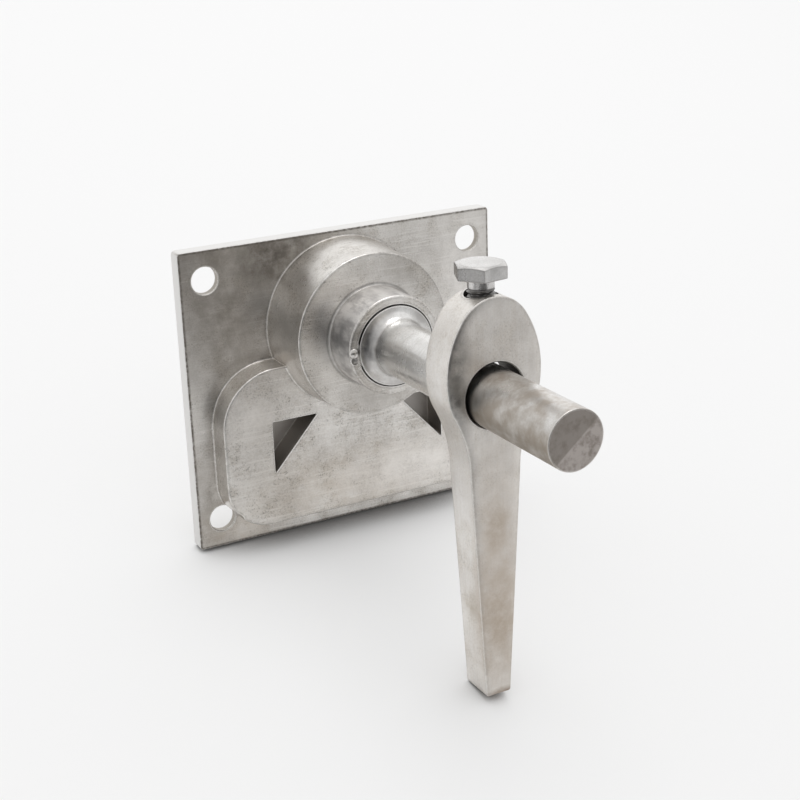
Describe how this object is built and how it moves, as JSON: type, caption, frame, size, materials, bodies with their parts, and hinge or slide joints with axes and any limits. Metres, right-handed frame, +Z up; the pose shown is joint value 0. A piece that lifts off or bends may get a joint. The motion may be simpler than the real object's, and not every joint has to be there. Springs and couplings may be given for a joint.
{
  "type": "boat hatch latch",
  "caption": "Flush hatch latch: cast plate with boss and pad, turning spindle with a folding pull ring, and a tapered lever clamped on the tail by a hex bolt.",
  "frame": {"origin": "centre of the screw holes on the plate's rear face, which lies on the hatch", "axes": "+X to the right seen from behind, +Y towards the deck side, +Z up, with the lever hanging towards -Z"},
  "size_m": [0.0814, 0.1014, 0.0957],
  "materials": {
    "cast_steel": "cast stainless steel, blasted, stained brownish grey",
    "spindle_steel": "cast stainless steel, turned journal and tail",
    "lever_steel": "cast stainless steel, satin, pale",
    "ring_steel": "stainless steel, polished",
    "turned_steel": "stainless steel, turned",
    "bolt_steel": "stainless steel, bright",
    "spring_wire": "stainless spring wire",
    "washer_plastic": "natural acetal",
    "seal_rubber": "black nitrile"
  },
  "bodies": {
    "casting": {"body_casting": "cast_steel", "stake_pin": "turned_steel", "snap_ring": "spring_wire", "thrust_washer": "washer_plastic"},
    "spindle": {"spindle": "spindle_steel", "rotor_seal": "seal_rubber", "journal_seal": "seal_rubber", "ring_pin": "turned_steel"},
    "ring": {"pull_ring": "ring_steel"},
    "lever": {"lever": "lever_steel"},
    "bolt": {"set_bolt": "bolt_steel"}
  },
  "joints": [
    {"name": "spindle_turn", "type": "hinge", "parent": "casting", "child": "spindle", "pos_m": [0, 0, 0.01465], "axis": [0, 1, 0], "continuous": true},
    {"name": "ring_lift", "type": "hinge", "parent": "spindle", "child": "ring", "pos_m": [0, 0.0014, 0.02405], "axis": [1, 0, 0], "range_deg": [0, 95]},
    {"name": "lever_set", "type": "slide", "parent": "spindle", "child": "lever", "axis": [0, 1, 0], "range_m": [-0.028, 0.028]},
    {"name": "bolt_back_off", "type": "slide", "parent": "lever", "child": "bolt", "axis": [0, 0, 1], "range_m": [0, 0.005]}
  ]
}
